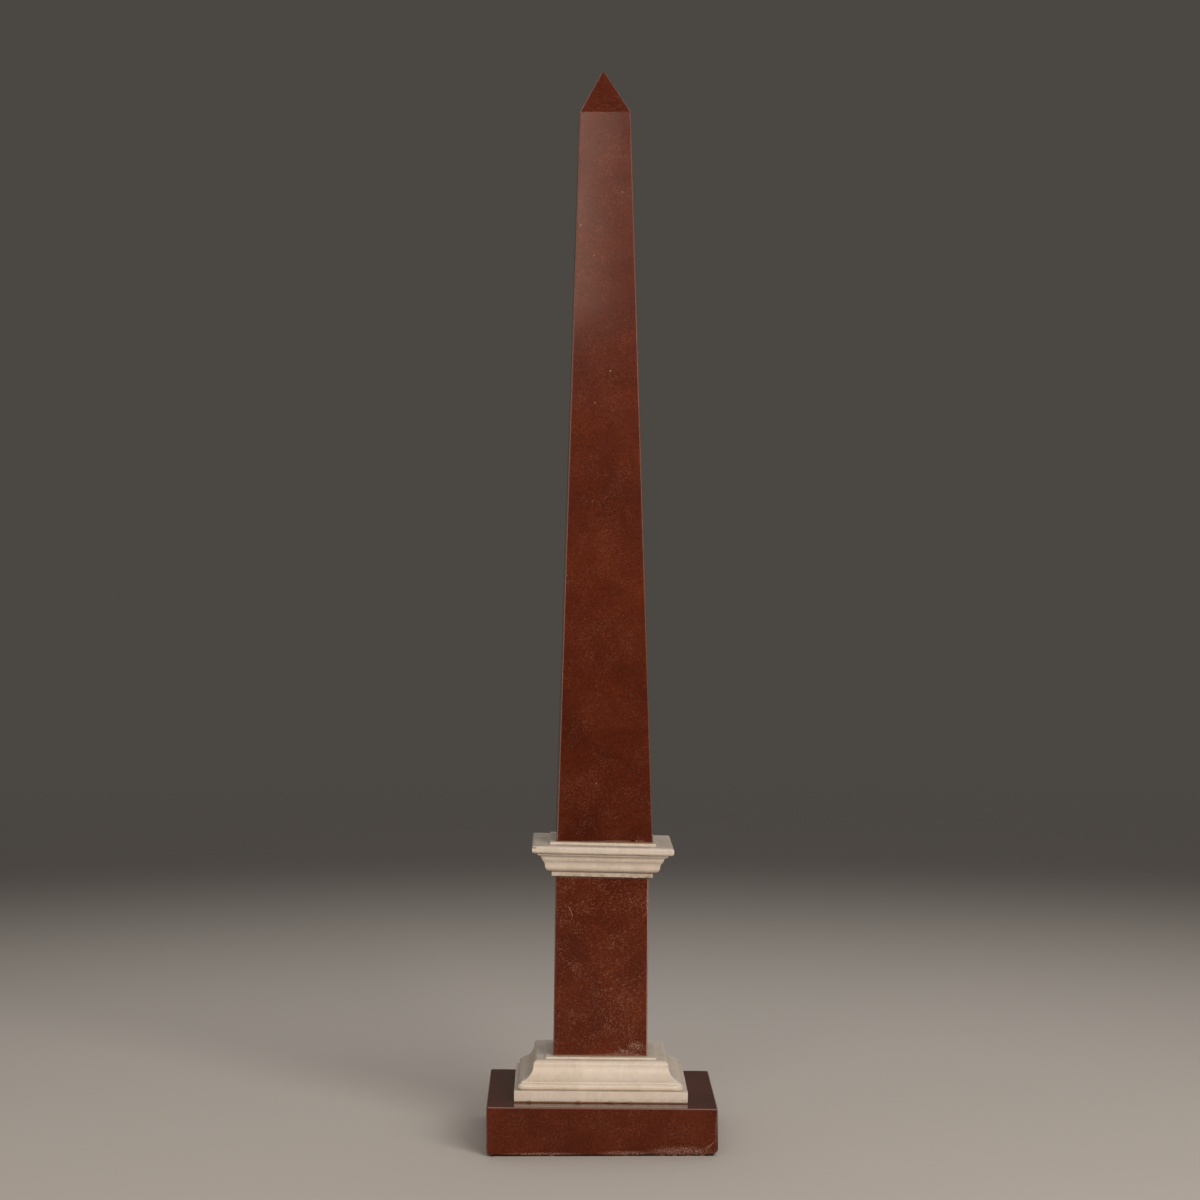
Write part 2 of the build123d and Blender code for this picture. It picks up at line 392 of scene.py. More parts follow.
def wear_and_highlight_of(material, place, mm, left_wear_and_highlight, right_wear_and_highlight, slope_share, patches, scratches):
    """Return wear with painted highlights at each point, and how far it is off the flat faces."""
    rounded = add_node(material, "ShaderNodeBevel", {"Radius": WORN_BY_MM * MM},
                       samples=BEVEL_SAMPLES).outputs["Normal"]
    off_face = arris_mask(material, rounded, slope_share, FACE_FROM, ARRIS_AT)
    rub = add_node(material, "ShaderNodeTexNoise", {
        "Vector": mm, "Scale": 1 / RUB_MM, "Detail": 3.0, "Roughness": 0.8,
    }).outputs["Fac"]
    facing = add_node(material, "ShaderNodeSeparateXYZ", {"Vector": rounded})
    # left and right strengths: wear, and a painted highlight on the arris that catches a lamp
    side_wear_and_highlight = add_node(material, "ShaderNodeMapRange", {
        "Value": facing.outputs["X"], "From Min": -0.3, "From Max": 0.3,
        "To Min": left_wear_and_highlight, "To Max": right_wear_and_highlight,
    })
    not_below = add_node(material, "ShaderNodeMapRange", {
        "Value": facing.outputs["Z"], "From Min": -0.35, "From Max": -0.05,
    })
    wear_and_highlight = add_node(material, "ShaderNodeMath", {0: off_face, 1: rub}, operation="MULTIPLY")
    wear_and_highlight = add_node(material, "ShaderNodeMath", {
        0: wear_and_highlight.outputs["Value"], 1: side_wear_and_highlight.outputs["Result"],
    }, operation="MULTIPLY").outputs["Value"]
    masks = [rubbed_patch(material, place, rub, *patch) for patch in patches]
    masks += [curved_scratch(material, place, *scratch) for scratch in scratches]
    for mask in masks:
        wear_and_highlight = add_node(material, "ShaderNodeMath", {0: wear_and_highlight, 1: mask},
                        operation="MAXIMUM").outputs["Value"]
    wear_and_highlight = add_node(material, "ShaderNodeMath", {0: wear_and_highlight, 1: not_below.outputs["Result"]},
                    operation="MULTIPLY").outputs["Value"]
    return wear_and_highlight, off_face


# %% [markdown]
# ## The polish
#
# Rosso antico is sawn to size, rubbed down with finer and finer grit, polished with oxalic
# acid and waxed. The face comes out close to a mirror, with a roughness near 0.1. What
# shines is the wax, so the IOR is wax's 1.45 rather than the stone's 1.6, and fine dust and
# handling have taken part of the shine, so the specular level is below the usual half.
#
# Old wax also blooms: over the sharp mirror image lies a broad, faint veil. That is a
# second, rougher layer, so it is made with the Principled shader's coat. Hand polishing
# leaves the faces very slightly wavy and the grain a little open, which two Bump nodes add.
# Worn places are paler, as crushed crystals scatter light, and duller. The same pale colour
# also paints highlights on the arrises that catch a lamp.

# %% The red marble, ready to use
ROSSO_WORN_AND_HIGHLIGHT = linear("B28D7B")
WORN_AND_HIGHLIGHT_SHARE = 0.68
WORN_DULLNESS = 0.45
ROSSO_IOR = 1.45
ROSSO_GLOSS_LEVEL = 0.31
WAX_ROUGHNESS = 0.35
ROUNDED_BY_MM = 0.3
HANDLING_MM = 14.0
POLISH_WAVE_MM, POLISH_WAVE_DEPTH_MM = 45.0, 0.08
OPEN_GRAIN_DEPTH_MM = 0.01


def rosso_antico(name, quarry_place, crumbs, tone_and_shade_by_height, roughness, wax, left_wear_and_highlight, right_wear_and_highlight,
                 slope_share=1.0, patches=(), scratches=()):
    """Polished red marble: worn arrises with painted highlights, rubbed patches, curved scratches.
    """
    material, output = new_material(name)
    place, mm = stone_place(material, quarry_place)
    ground, grain_value = clouds_and_grain(material, place, mm, tone_and_shade_by_height)
    stone = crystals_over(material, mm, crumbs_over(material, mm, ground, crumbs))
    wear_and_highlight, off_face = wear_and_highlight_of(material, place, mm, left_wear_and_highlight, right_wear_and_highlight, slope_share, patches,
                             scratches)
    worn_and_highlight_share = add_node(material, "ShaderNodeMath", {0: wear_and_highlight, 1: WORN_AND_HIGHLIGHT_SHARE},
                          operation="MULTIPLY", use_clamp=True)
    colour = add_node(material, "ShaderNodeMix", {
        0: worn_and_highlight_share.outputs["Value"], COLOUR_A: stone, COLOUR_B: ROSSO_WORN_AND_HIGHLIGHT,
    }, data_type="RGBA")

    handling = add_node(material, "ShaderNodeTexNoise", {
        "Vector": mm, "Scale": 1 / HANDLING_MM, "Detail": 4.0, "Roughness": 0.6,
    })
    polished = add_node(material, "ShaderNodeMapRange", {
        "Value": handling.outputs["Fac"], "From Min": 0.3, "From Max": 0.7,
        "To Min": roughness * 0.75, "To Max": roughness * 1.35,
    })
    unpolished = add_node(material, "ShaderNodeMath", {0: wear_and_highlight, 1: off_face}, operation="MAXIMUM")
    dullness = add_node(material, "ShaderNodeMath", {
        0: unpolished.outputs["Value"], 1: WORN_DULLNESS, 2: polished.outputs["Result"],
    }, operation="MULTIPLY_ADD", use_clamp=True)

    rounded = add_node(material, "ShaderNodeBevel", {"Radius": ROUNDED_BY_MM * MM},
                       samples=BEVEL_SAMPLES)
    wave = add_node(material, "ShaderNodeTexNoise", {
        "Vector": mm, "Scale": 1 / POLISH_WAVE_MM, "Detail": 1.0,
    })
    wavy = add_node(material, "ShaderNodeBump", {
        "Strength": 1.0, "Distance": POLISH_WAVE_DEPTH_MM * MM, "Height": wave.outputs["Fac"],
        "Normal": rounded.outputs["Normal"],
    })
    open_grained = add_node(material, "ShaderNodeBump", {
        "Strength": 0.3, "Distance": OPEN_GRAIN_DEPTH_MM * MM, "Height": grain_value,
        "Normal": wavy.outputs["Normal"],
    })
    surface = add_node(material, "ShaderNodeBsdfPrincipled", {
        "Base Color": colour.outputs[COLOUR_OUT], "Roughness": dullness.outputs["Value"],
        "IOR": ROSSO_IOR, "Specular IOR Level": ROSSO_GLOSS_LEVEL,
        "Coat Weight": wax, "Coat Roughness": WAX_ROUGHNESS, "Coat IOR": ROSSO_IOR,
        "Normal": open_grained.outputs["Normal"],
    })
    material.node_tree.links.new(surface.outputs["BSDF"], output.inputs["Surface"])
    print("red marble", name, "with", len(patches), "patches and", len(scratches), "scratches")
    return material


# %% [markdown]
# ## One marble, three blocks
#
# The plinth has few crumbs, and its front foot is scuffed, most of all towards the right,
# where two fine scratches curve up to the arris; its right arris is paler, partly worn and
# partly a painted highlight. The die has the most crumbs and a chafed right arris, made
# paler still by a painted highlight. The shaft is the best kept: it has the most wax, and
# its left arris is the paler one, partly worn and partly a painted highlight. A patch is a
# centre, three half sizes and, where it is solid, how solid.
# A scratch is its middle, its length and the centre that it turns round.

# %% The three red stones
plinth_low, plinth_high = [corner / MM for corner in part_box("plinth")]
plinth_stone = rosso_antico(
    "rosso_antico_plinth", quarry_place=(310.0, 45.0, 12.0), crumbs=0.09,
    # the plinth's lowest millimetre is painted shade, for the unlit rounding of its foot
    tone_and_shade_by_height=(0.9, 0.12, 1.5, 0.89), roughness=0.1, wax=0.05, left_wear_and_highlight=0.9, right_wear_and_highlight=1.7,
    patches=[
        ((41.0, plinth_low.y, 2.2), (22.0, 5.0, 3.6)),
        ((12.0, plinth_low.y, 1.5), (17.0, 4.0, 1.7)),
        ((-30.0, plinth_low.y, 1.3), (26.0, 3.0, 1.0)),
        # the right arris: wear, and a painted highlight of the key lamp
        ((plinth_high.x - 0.4, plinth_low.y, 12.0), (1.4, 3.0, 14.0)),
    ],
    scratches=[
        ((56.1, plinth_low.y, 5.8), 5.0, (52.0, plinth_low.y, 12.5)),
        ((55.2, plinth_low.y, 4.6), 4.0, (51.2, plinth_low.y, 11.6)),
    ],
)
die_low, die_high = [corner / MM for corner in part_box("die")]
die_stone = rosso_antico(
    "rosso_antico_die", quarry_place=(-120.0, 230.0, 64.0), crumbs=0.22,
    tone_and_shade_by_height=(50.0, 1.08, 140.0, 0.87), roughness=0.12, wax=0.05, left_wear_and_highlight=0.9, right_wear_and_highlight=2.4,
    patches=[
        ((12.5, die_low.y, die_low.z + 1.6), (7.5, 4.0, 2.6)),
        ((18.0, die_low.y, die_low.z + 4.6), (5.5, 4.0, 3.6)),
        ((die_high.x, die_low.y, 128.0), (1.7, 3.0, 9.0)),
        ((die_high.x, die_low.y, 92.0), (1.1, 3.0, 52.0)),
        ((0.0, die_low.y, die_high.z - 0.5), (26.0, 3.0, 0.8)),
        ((6.0, die_low.y, die_low.z + 0.5), (20.0, 3.0, 0.6), 0.45),
    ],
    scratches=[((-16.0, die_low.y, 123.0), 6.5, (-27.0, die_low.y, 118.5))],
)
shaft_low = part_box("shaft")[0] / MM
shaft_stone = rosso_antico(
    "rosso_antico_shaft", quarry_place=(77.0, -310.0, -140.0), crumbs=0.1,
    tone_and_shade_by_height=(165.0, 0.74, 290.0, 1.02), roughness=0.095, wax=0.12, left_wear_and_highlight=2.0, right_wear_and_highlight=0.7,
    slope_share=0.3,
    patches=[
        ((0.0, shaft_low.y, shaft_low.z + 0.6), (31.0, 3.0, 0.6), 0.5),
        ((19.0, shaft_low.y, shaft_low.z + 0.5), (6.0, 3.0, 1.1)),
    ],
)

# %% [markdown]
# ## White marble: ground and veins
#
# The mouldings are a plain white statuary marble, turned creamy by age and wax. Its ground
# is two close creams in clouds of about 16 mm. A vein is a crack that later filled with
# grey mineral. Curves could be drawn for them, but a noise has them already: where it
# crosses its middle value it traces long, wandering lines. Stretching it three times along
# one direction lines the veins up, and a wide, soft threshold keeps them faint.

# %% The white marble's colour
WHITE_VEIN = linear("B5ABA0")
WHITE_CLOUD_MM = 16.0
VEIN_ACROSS_MM, VEIN_ALONG_MM = 9.0, 30.0
VEIN_TURN = (0.2, 0.25, 0.4)
VEIN_SOFTNESS = 0.06


def veined_ground(material, mm, ground, warm, veins):
    """Creamy clouds with faint, wandering veins."""
    clouds = add_node(material, "ShaderNodeTexNoise", {
        "Vector": mm, "Scale": 1 / WHITE_CLOUD_MM, "Detail": 5.0, "Roughness": 0.55,
        "Distortion": 0.4,
    })
    warm_share = add_node(material, "ShaderNodeMapRange", {
        "Value": clouds.outputs["Fac"], "From Min": 0.42, "From Max": 0.7, "To Max": 0.75,
    })
    cream = add_node(material, "ShaderNodeMix", {
        0: warm_share.outputs["Result"], COLOUR_A: linear(ground), COLOUR_B: linear(warm),
    }, data_type="RGBA")
    stretched = add_node(material, "ShaderNodeMapping", {
        "Vector": mm, "Rotation": VEIN_TURN,
        "Scale": (1 / VEIN_ACROSS_MM, 1 / VEIN_ACROSS_MM, 1 / VEIN_ALONG_MM),
    })
    wander = add_node(material, "ShaderNodeTexNoise", {
        "Vector": stretched.outputs["Vector"], "Scale": 1.0, "Detail": 6.0,
        "Roughness": 0.55, "Distortion": 0.9,
    })
    from_middle = add_node(material, "ShaderNodeMath", {
        0: wander.outputs["Fac"], 1: 0.5,
    }, operation="SUBTRACT")
    off_vein = add_node(material, "ShaderNodeMath", {0: from_middle.outputs["Value"]},
                        operation="ABSOLUTE")
    vein_mask = add_node(material, "ShaderNodeMapRange", {
        "Value": off_vein.outputs["Value"], "From Min": VEIN_SOFTNESS, "From Max": 0.0,
        "To Max": veins,
    })
    return add_node(material, "ShaderNodeMix", {
        0: vein_mask.outputs["Result"], COLOUR_A: cream.outputs[COLOUR_OUT],
        COLOUR_B: WHITE_VEIN,
    }, data_type="RGBA").outputs[COLOUR_OUT]


# %% [markdown]
# ## Dirt in the quirks, stains and painted shade along the joint
#
# Dust and old polish settle in the quirks, the narrow grooves of a moulding. An Ambient
# Occlusion node finds them, as places that see little open sky within a millimetre and a
# half. Just above the joint the colour turns to warm brown: partly marks left by the
# setting compound, and partly painted shade, most of all on the cornice's foot under the
# overhang above it. Both are tied to the height above the table and broken up into
# blotches by a noise.

# %% The white marble's dirt and painted shade
WHITE_DIRT_AND_SHADE = linear("7D6248")
QUIRK_REACH_MM = 1.5
QUIRK_DIRT = 0.07
SKY_SAMPLES = 8
BLOTCH_MM = 3.5


def dirt_stain_and_shade(material, place, mm, joint_height, stain_and_shade_reach, stain_and_shade_share):
    """Dirt and painted shade of each point. Stains and shade gather above the joint, in mm above
    the table.
    """
    open_sky = add_node(material, "ShaderNodeAmbientOcclusion", {
        "Distance": QUIRK_REACH_MM * MM, "Color": (1, 1, 1, 1),
    }, samples=SKY_SAMPLES)
    quirk_dirt = add_node(material, "ShaderNodeMapRange", {
        "Value": open_sky.outputs["AO"], "From Min": 0.6, "From Max": 0.2, "To Max": QUIRK_DIRT,
    })
    height = add_node(material, "ShaderNodeSeparateXYZ", {"Vector": place})
    # just above the joint: compound stains, and painted shade on the cornice's foot
    near_joint = add_node(material, "ShaderNodeMapRange", {
        "Value": height.outputs["Z"], "From Min": (joint_height + stain_and_shade_reach) * MM,
        "From Max": joint_height * MM, "To Max": stain_and_shade_share,
    })
    blotches = add_node(material, "ShaderNodeTexNoise", {
        "Vector": mm, "Scale": 1 / BLOTCH_MM, "Detail": 4.0, "Roughness": 0.65,
    })
    blotch_share = add_node(material, "ShaderNodeMapRange", {
        "Value": blotches.outputs["Fac"], "From Min": 0.4, "From Max": 0.68, "To Min": 0.35,
    })
    stain_and_shade = add_node(material, "ShaderNodeMath", {
        0: near_joint.outputs["Result"], 1: blotch_share.outputs["Result"],
    }, operation="MULTIPLY")
    return add_node(material, "ShaderNodeMath", {
        0: quirk_dirt.outputs["Result"], 1: stain_and_shade.outputs["Value"],
    }, operation="MAXIMUM").outputs["Value"]


# %% [markdown]
# ## The honed finish
#
# The mouldings were cut with chisels and rubbed to a honed finish, without the last polish.
# Light sinks a little into white marble and comes back soft, so the surface has a touch of
# subsurface scattering and a roughness near 0.4. One noise of 6 mm serves twice, for how
# smooth the hone left the stone and for its shallow hollows, and a finer one adds the
# sugary crystals, drawn at 0.6 mm.

# %% The white marble, ready to use
WHITE_IOR = 1.5
HONE_MM, HONE_DEPTH_MM = 6.0, 0.05
SUGAR_MM, SUGAR_DEPTH_MM = 0.6, 0.02
LIGHT_SINKS_MM = 1.2


def white_marble(name, ground, warm, quarry_place, veins, joint_height, stain_and_shade_reach,
                 stain_and_shade_share):
    """Honed white marble: faint veins, dirt in its quirks, stains and painted shade along its
    joint.
    """
    material, output = new_material(name)
    place, mm = stone_place(material, quarry_place)
    dirt_and_shade = dirt_stain_and_shade(material, place, mm, joint_height, stain_and_shade_reach, stain_and_shade_share)
    colour = add_node(material, "ShaderNodeMix", {
        0: dirt_and_shade, COLOUR_A: veined_ground(material, mm, ground, warm, veins),
        COLOUR_B: WHITE_DIRT_AND_SHADE,
    }, data_type="RGBA")
    honing = add_node(material, "ShaderNodeTexNoise", {
        "Vector": mm, "Scale": 1 / HONE_MM, "Detail": 5.0, "Roughness": 0.6,
    })
    honed = add_node(material, "ShaderNodeMapRange", {
        "Value": honing.outputs["Fac"], "From Min": 0.3, "From Max": 0.7,
        "To Min": 0.32, "To Max": 0.48,
    })
    rounded = add_node(material, "ShaderNodeBevel", {"Radius": ROUNDED_BY_MM * MM},
                       samples=BEVEL_SAMPLES)
    hollowed = add_node(material, "ShaderNodeBump", {
        "Strength": 1.0, "Distance": HONE_DEPTH_MM * MM, "Height": honing.outputs["Fac"],
        "Normal": rounded.outputs["Normal"],
    })
    sugar = add_node(material, "ShaderNodeTexNoise", {
        "Vector": mm, "Scale": 1 / SUGAR_MM, "Detail": 2.0,
    })
    sugary = add_node(material, "ShaderNodeBump", {
        "Strength": 0.5, "Distance": SUGAR_DEPTH_MM * MM, "Height": sugar.outputs["Fac"],
        "Normal": hollowed.outputs["Normal"],
    })
    surface = add_node(material, "ShaderNodeBsdfPrincipled", {
        "Base Color": colour.outputs[COLOUR_OUT], "Roughness": honed.outputs["Result"],
        "IOR": WHITE_IOR, "Subsurface Weight": 0.12, "Subsurface Radius": (1.0, 0.7, 0.5),
        "Subsurface Scale": LIGHT_SINKS_MM * MM, "Normal": sugary.outputs["Normal"],
    })
    material.node_tree.links.new(surface.outputs["BSDF"], output.inputs["Surface"])
    print("white marble", name, "stained and shaded above", round(joint_height, 1), "mm")
    return material


base_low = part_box("base_moulding")[0] / MM
base_stone = white_marble(
    "white_marble_base", ground="DFD1C0", warm="D4C2AD", quarry_place=(20.0, 95.0, -60.0),
    veins=0.2, joint_height=base_low.z, stain_and_shade_reach=2.8, stain_and_shade_share=0.5,
)
cornice_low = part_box("cornice")[0] / MM
cornice_stone = white_marble(
    "white_marble_cornice", ground="D6C8B8", warm="CAB8A3", quarry_place=(-80.0, 15.0, 33.0),
    # on the cornice's foot most of this brown is painted shade, under the overhang above it
    veins=0.28, joint_height=cornice_low.z, stain_and_shade_reach=4.4, stain_and_shade_share=0.9,
)

# %% [markdown]
# ## Fresh breaks, and the setting compound
#
# A chip shows the stone as it breaks: matt, sugary and paler, because the crushed grains
# scatter light. The stones are bedded on a thin layer of resin and stone dust, now a dull
# brown. It shows as fine lines between the blocks, and it has no polish at all. Both are
# rough materials, so one recipe serves for them: a dark and a light colour mixed by grit.

# %% Rough materials
BREAK_GRIT_MM, BREAK_ROUGHNESS = 0.8, 0.7
COMPOUND_GRIT_MM, COMPOUND_ROUGHNESS = 1.2, 0.85
GRIT_DEPTH_MM = 0.08


def rough_mineral(name, dark, light, grit_mm, roughness):
    """A matt, gritty mineral surface."""
    material, output = new_material(name)
    mm = stone_place(material, (0.0, 0.0, 0.0))[1]
    grit = add_node(material, "ShaderNodeTexNoise", {
        "Vector": mm, "Scale": 1 / grit_mm, "Detail": 4.0, "Roughness": 0.7,
    })
    colour = add_node(material, "ShaderNodeMix", {
        0: grit.outputs["Fac"], COLOUR_A: linear(dark), COLOUR_B: linear(light),
    }, data_type="RGBA")
    relief = add_node(material, "ShaderNodeBump", {
        "Strength": 0.8, "Distance": GRIT_DEPTH_MM * MM, "Height": grit.outputs["Fac"],
    })
    surface = add_node(material, "ShaderNodeBsdfPrincipled", {
        "Base Color": colour.outputs[COLOUR_OUT], "Roughness": roughness, "IOR": 1.5,
        "Normal": relief.outputs["Normal"],
    })
    material.node_tree.links.new(surface.outputs["BSDF"], output.inputs["Surface"])
    print("rough mineral", name, "with grit of", grit_mm, "mm")
    return material


red_break = rough_mineral("rosso_antico_broken", "5A2617", "A5755F", BREAK_GRIT_MM,
                          BREAK_ROUGHNESS)
white_break = rough_mineral("white_marble_broken", "B9A48E", "EADFD2", BREAK_GRIT_MM,
                            BREAK_ROUGHNESS)
compound = rough_mineral("resin_and_stone_dust", "5E3E28", "AD8560", COMPOUND_GRIT_MM,
                         COMPOUND_ROUGHNESS)

# %% [markdown]
# ## Easing the arrises
#
# The solids have perfect edges. On the real blocks each arris was eased with a few strokes
# of fine grit. Each dressed block starts from its solid's own mesh, so it keeps the true
# shape. That mesh comes as triangles with split corners, so the corners are welded and the
# flat triangles are joined into whole faces first. Then every sharp convex edge gets a
# narrow bevel, which only takes stone away, as the grit did.

# %% An eased copy of a solid
WELD_MM = 0.002
FLAT_WITHIN = math.radians(0.4)
SMOOTH_UP_TO = math.radians(30)
CM3_PER_M3 = 1e6


def eased_copy(node_name, finish, edge_mm):
    """Copy a solid's mesh and give its sharp convex edges a narrow bevel."""
    shape = bmesh.new()
    shape.from_mesh(frame["nodes"][node_name].data)
    bmesh.ops.remove_doubles(shape, verts=shape.verts, dist=WELD_MM * MM)
    bmesh.ops.dissolve_limit(shape, angle_limit=FLAT_WITHIN, verts=shape.verts,
                             edges=shape.edges)
    sharp = [edge for edge in shape.edges
             if edge.is_convex and edge.calc_face_angle(0.0) > SMOOTH_UP_TO]
    bmesh.ops.bevel(shape, geom=sharp, offset=edge_mm * MM, offset_type="OFFSET", segments=2,
                    profile=0.5, affect="EDGES", clamp_overlap=True)
    for face in shape.faces:
        face.material_index = 0
        face.smooth = True
    print("eased", node_name, "to", round(shape.calc_volume() * CM3_PER_M3, 3), "cm3")
    mesh = bpy.data.meshes.new("dressed_" + node_name)
    shape.to_mesh(mesh)
    shape.free()
    mesh.materials.append(finish)
    block = bpy.data.objects.new("dressed_" + node_name, mesh)
    bpy.context.scene.collection.objects.link(block)
    return block


# %% [markdown]
# ## Chips and old bites
#
# Some arrises were knocked later. A knock takes out a small hollow with a rough wall, so a
# rough pebble makes a good cutter: a ball of triangles, pushed in and out by noise, turned
# at random with a fixed seed so that it comes out the same each time. A Boolean modifier
# takes all the pebbles out of the block at once and lines each hollow with the pebble's
# material. A fresh chip shows the pale break. An old bite has darkened back to the block's
# own finish, and with a long, nearly smooth pebble it also makes a rubbed-off corner.

# %% Pebbles, and the cut
PEBBLE_LUMPS = 1.6
CHIP_LUMPINESS, OLD_BITE_LUMPINESS = 0.3, 0.05
BREAK_SLOT, FINISH_SLOT = 0, 1


def rough_pebble(shape, centre, half_sizes, seed, lumpiness=CHIP_LUMPINESS, slot=BREAK_SLOT):
    """Add a rough, rounded lump to a mesh in the making. Sizes are in mm."""
    chance = random.Random(seed)
    made = bmesh.ops.create_icosphere(shape, subdivisions=2, radius=1.0)["verts"]
    turn = Euler([chance.uniform(0, math.tau) for _ in range(3)]).to_matrix()
    elsewhere = Vector([chance.uniform(-50, 50) for _ in range(3)])
    for vert in made:
        lump = 1 + lumpiness * noise.noise(vert.co * PEBBLE_LUMPS + elsewhere)
        lumpy = turn @ vert.co * lump
        vert.co = Vector([(c + h * v) * MM for c, h, v in zip(centre, half_sizes, lumpy)])
        for face in vert.link_faces:
            face.material_index = slot


def settle(block):
    """Work an object's modifiers into its mesh."""
    bpy.context.view_layer.update()
    seen_now = block.evaluated_get(bpy.context.evaluated_depsgraph_get())
    block.data = bpy.data.meshes.new_from_object(seen_now)
    block.modifiers.clear()


def bite_out(block, first_seed, finish, break_finish, chips, old_bites):
    """Cut the chips and the old bites out of a block."""
    bites = bmesh.new()
    for seed, (centre, half_sizes) in enumerate(chips, start=first_seed):
        rough_pebble(bites, centre, half_sizes, seed)
    for seed, (centre, half_sizes) in enumerate(old_bites):
        rough_pebble(bites, centre, half_sizes, seed, OLD_BITE_LUMPINESS, FINISH_SLOT)
    bite_mesh = bpy.data.meshes.new("bites")
    bites.to_mesh(bite_mesh)
    bites.free()
    bite_mesh.materials.append(break_finish)
    bite_mesh.materials.append(finish)
    biter = bpy.data.objects.new("bites", bite_mesh)
    bpy.context.scene.collection.objects.link(biter)
    cut = block.modifiers.new("chips", "BOOLEAN")
    cut.operation, cut.solver, cut.object = "DIFFERENCE", "EXACT", biter
    cut.material_mode = "TRANSFER"
    settle(block)
    bpy.data.objects.remove(biter)
    print("bit out", len(chips), "chips and", len(old_bites), "old bites")


# %% [markdown]
# ## The unevenness of hand cutting
#
# A moulding was cut along its length by hand, so its members swell and thin a little. A
# straight member is only one long face, which has nothing to move, so it is first cut into
# lengths of 2.5 mm by planes across it. Then each point is pulled in along its normal by a
# slow noise. The pull is never outward, so the moulding stays inside its solid.

# %% Pulling in a moulding's faces
LENGTHS_MM = 2.5
CUT_TOLERANCE = 1e-7
PULL_WANDER = 0.13
MEAN_PULL, PULL_SWING = 0.5, 0.8


def hand_cut(shape, wobble_mm):
    """Cut a moulding's long faces into short lengths and pull them in here and there."""
    for axis in (Vector((1, 0, 0)), Vector((0, 1, 0))):
        across = [vert.co.dot(axis) for vert in shape.verts]
        steps = round((max(across) - min(across)) / (LENGTHS_MM * MM))
        for step in range(1, steps):
            at = min(across) + (max(across) - min(across)) * step / steps
            bmesh.ops.bisect_plane(shape, geom=shape.verts[:] + shape.edges[:] + shape.faces[:],
                                   dist=CUT_TOLERANCE, plane_co=axis * at, plane_no=axis)
    shape.normal_update()
    pulls = []
    for vert in shape.verts:
        share = MEAN_PULL + noise.noise(vert.co / MM * PULL_WANDER) * PULL_SWING
        pulls.append(vert.normal * wobble_mm * MM * max(0.0, share))
    for vert, pull in zip(shape.verts, pulls):
        vert.co -= pull


# %% [markdown]
# ## Dressing a block
#
# The steps go in the order of the real ones: ease, knock, and for a moulding the unevenness
# last, because it moves points that the other steps have to find in place. A Weighted
# Normal modifier then lets the large flat faces keep their own normals, so they mirror as
# flat stone and all of the turn is left to the narrow bevels. The dressed block rides on
# the body and replaces its solid in the picture.

# %% One function dresses a block
def dress(node_name, finish, break_finish, edge_mm, wobble_mm=0.0, chips=(),
          old_bites=()):
    """Stand an eased, chipped and hand-cut copy in for a solid."""
    block = eased_copy(node_name, finish, edge_mm)
    if chips or old_bites:
        bite_out(block, len(node_name), finish, break_finish, chips, old_bites)
    if wobble_mm:
        shape = bmesh.new()
        shape.from_mesh(block.data)
        hand_cut(shape, wobble_mm)
        print("hand cut", node_name, "to", round(shape.calc_volume() * CM3_PER_M3, 3), "cm3")
        shape.to_mesh(block.data)
        shape.free()
    block.data.set_sharp_from_angle(angle=SMOOTH_UP_TO)
    weigh = block.modifiers.new("flat faces stay flat", "WEIGHTED_NORMAL")
    weigh.keep_sharp = True
    settle(block)
    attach(block, "root")
    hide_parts(node_name)
    print("dressed", node_name, len(block.data.vertices), "points")


# %% [markdown]
# ## The plinth
#
# The slab that the ornament stands on. Its lower front edge has met many shelves: there are
# small knocks along it, and both lower front corners are rubbed off. A chip or a bite is a
# centre and three half sizes in millimetres. The pebbles of the two corners reach far
# back, so that the corner is gone in the outline too.

# %% Dress the plinth
dress("plinth", plinth_stone, red_break, edge_mm=0.1, chips=[
    ((-26.0, plinth_low.y, 0.2), (1.1, 0.9, 0.9)),
    ((31.0, plinth_low.y, 0.0), (1.6, 0.8, 0.8)),
    ((37.5, plinth_low.y, 0.1), (1.2, 0.9, 0.9)),
    ((45.5, plinth_low.y, 0.0), (2.0, 0.9, 0.8)),
    ((52.0, plinth_low.y, 0.1), (1.3, 0.8, 1.0)),
    ((12.0, plinth_low.y, 0.0), (1.4, 0.7, 0.7)),
], old_bites=[
    ((plinth_high.x + 2.6, plinth_low.y - 3.0, -2.6), (6.2, 22.0, 6.2)),
    ((plinth_low.x - 2.6, plinth_low.y - 3.0, -2.6), (6.0, 18.0, 6.0)),
])

# %% [markdown]
# ## The die and the shaft
#
# The die is the upright block above the base moulding. Its right arris has a run of tiny
# chips, and a few grains have come away along its foot. The shaft has one small chip and one
# hole at its front foot. The hole is an old bite, because it looks dark in the photograph
# and not pale as a fresh break would.

# %% Dress the die and the shaft
dress("die", die_stone, red_break, edge_mm=0.15, chips=[
    ((die_high.x - 0.45, die_low.y + 0.2, 133.6), (0.6, 0.6, 0.9)),
    ((die_high.x - 0.5, die_low.y + 0.2, 130.2), (0.5, 0.6, 0.6)),
    ((die_high.x - 0.5, die_low.y + 0.2, 126.0), (0.6, 0.6, 1.2)),
    ((die_high.x - 0.5, die_low.y + 0.2, 121.5), (0.5, 0.5, 0.8)),
    ((die_high.x - 0.4, die_low.y + 0.2, 92.0), (0.5, 0.5, 0.8)),
    ((19.0, die_low.y, die_low.z + 0.5), (1.6, 0.5, 0.5)),
    ((9.5, die_low.y, die_low.z + 0.4), (1.3, 0.5, 0.5)),
    ((14.0, die_low.y, die_low.z + 0.4), (0.9, 0.5, 0.4)),
])
